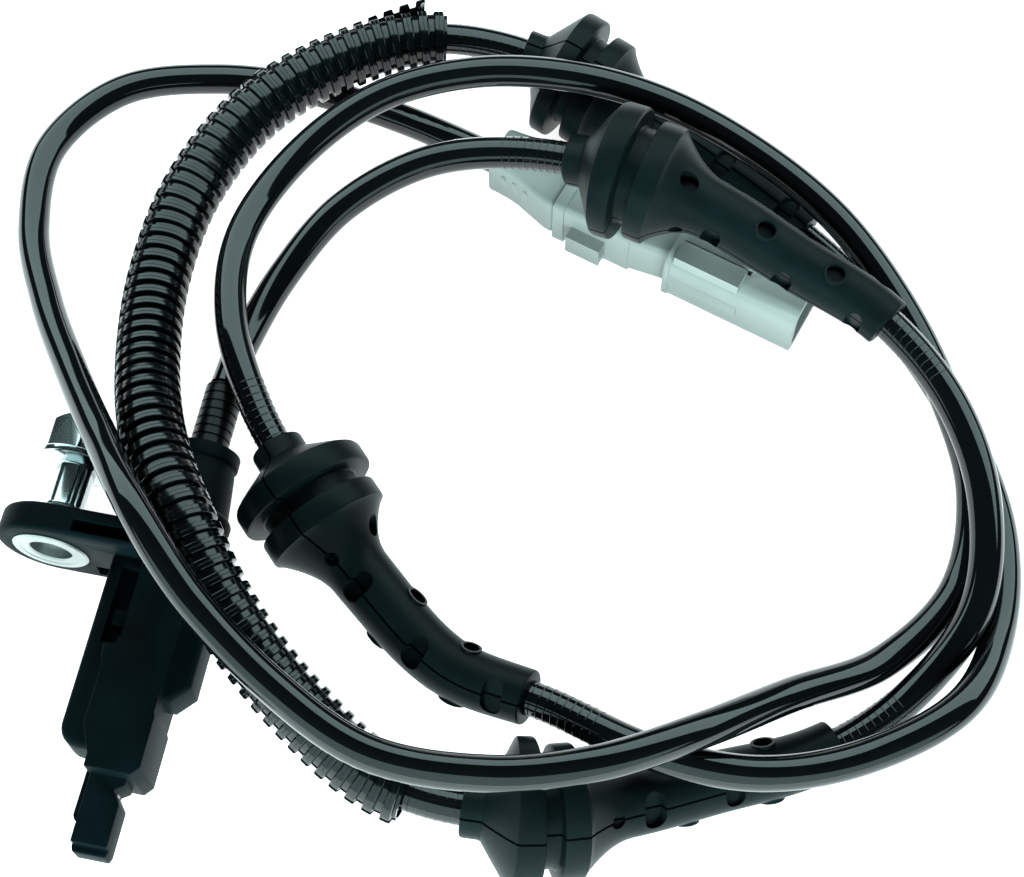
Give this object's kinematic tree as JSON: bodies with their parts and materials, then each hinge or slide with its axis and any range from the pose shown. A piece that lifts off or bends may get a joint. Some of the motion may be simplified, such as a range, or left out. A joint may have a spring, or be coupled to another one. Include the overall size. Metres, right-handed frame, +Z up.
{
  "type": "abs wheel speed sensor",
  "caption": "Black flanged wheel speed sensor with a bolt, a loosely coiled lead carrying rubber grommets and a corrugated conduit, and a pale grey-green connector.",
  "frame": {"origin": "on the floor, under the middle of the sensor head, measured without the lead", "axes": "+Y runs along the sensor head from its tip to its cable end, +Z is up, and the lug with the bolt points to -X"},
  "size_m": [0.169, 0.1534, 0.0338],
  "materials": {
    "housing_plastic": "satin",
    "zinc_steel": "satin",
    "grommet_rubber": "matte",
    "element_resin": "matte",
    "magnet_metal": "satin",
    "carrier_plastic": "matte",
    "contact_metal": "satin",
    "core_insulation": "satin",
    "cable_jacket": "gloss",
    "conduit_plastic": "gloss",
    "connector_plastic": "satin",
    "seal_rubber": "matte"
  },
  "bodies": {
    "root": {"sensor_housing": "housing_plastic", "flange_bush": "zinc_steel", "fixing_bolt": "zinc_steel", "strain_relief": "grommet_rubber", "sensing_element": "element_resin", "bias_magnet": "magnet_metal", "element_carrier": "carrier_plastic", "lead_strip_1": "contact_metal", "lead_strip_2": "contact_metal", "crimp_1": "contact_metal", "crimp_2": "contact_metal", "core_1": "core_insulation", "core_2": "core_insulation", "cable": "cable_jacket", "grommet_1": "grommet_rubber", "grommet_2": "grommet_rubber", "grommet_3": "grommet_rubber", "grommet_4": "grommet_rubber", "conduit": "conduit_plastic", "connector_housing": "connector_plastic", "connector_cover": "connector_plastic", "front_seal": "seal_rubber", "rear_core_1": "core_insulation", "rear_core_2": "core_insulation", "wire_seal_1": "seal_rubber", "wire_seal_2": "seal_rubber", "terminal_1": "contact_metal", "terminal_2": "contact_metal"}
  },
  "joints": []
}
